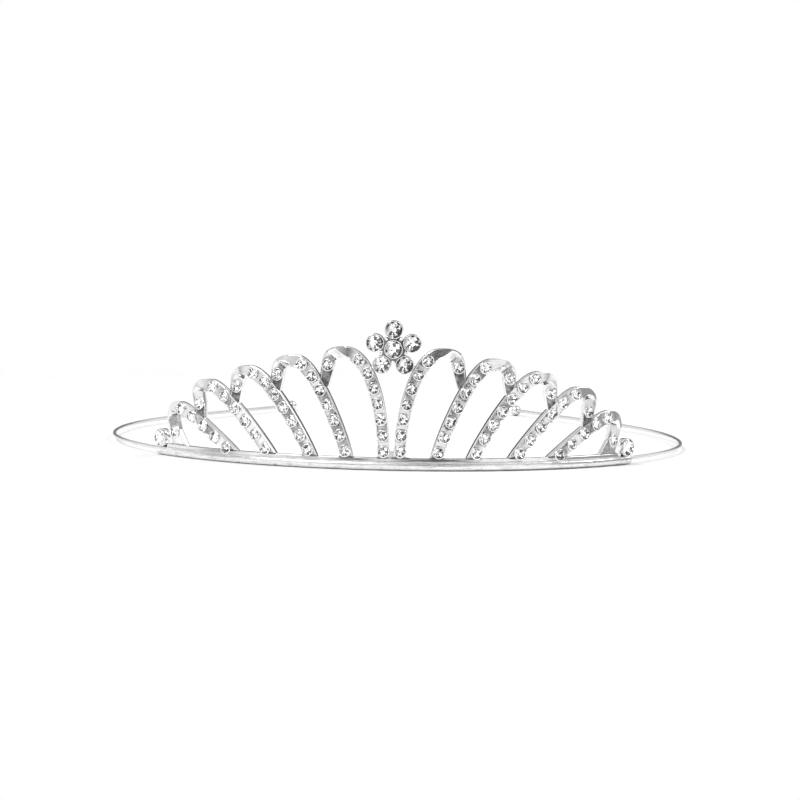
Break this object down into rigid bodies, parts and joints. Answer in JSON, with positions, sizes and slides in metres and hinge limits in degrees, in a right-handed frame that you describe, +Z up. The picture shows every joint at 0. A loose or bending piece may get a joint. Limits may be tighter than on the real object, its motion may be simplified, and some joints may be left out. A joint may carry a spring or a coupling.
{
  "type": "mini crown headband",
  "caption": "Small rhinestone crown of leaning arches with a flower on top, on a thin springy wire headband with ball ends.",
  "frame": {"origin": "on the surface that the tiara stands on, under the middle of its outline seen from above", "axes": "+Z up, from the base bar to the flower; -Y towards the front of the crown; +Y towards the two balls; +X to the right of the crown, seen from the front"},
  "size_m": [0.1314, 0.1492, 0.0315],
  "materials": {
    "plated_casting": "bright silver plating, polished arches, brushed and slightly pitted bar",
    "plated_wire": "silver plated spring wire",
    "polished_ball": "polished silver plating",
    "clear_stone": "clear cut glass with a foil back"
  },
  "bodies": {
    "root": {"crown_frame": "plated_casting", "wire_arm_left": "plated_wire", "wire_arm_right": "plated_wire", "ball_tip_left": "polished_ball", "ball_tip_right": "polished_ball", "flower_stone_centre": "clear_stone", "petal_stone_1": "clear_stone", "petal_stone_2": "clear_stone", "petal_stone_3": "clear_stone", "petal_stone_4": "clear_stone", "petal_stone_5": "clear_stone", "end_stone_left": "clear_stone", "end_stone_right": "clear_stone", "arch_stones_left_1": "clear_stone", "arch_stones_left_2": "clear_stone", "arch_stones_left_3": "clear_stone", "arch_stones_left_4": "clear_stone", "arch_stones_left_5": "clear_stone", "arch_stones_right_1": "clear_stone", "arch_stones_right_2": "clear_stone", "arch_stones_right_3": "clear_stone", "arch_stones_right_4": "clear_stone", "arch_stones_right_5": "clear_stone"}
  },
  "joints": []
}
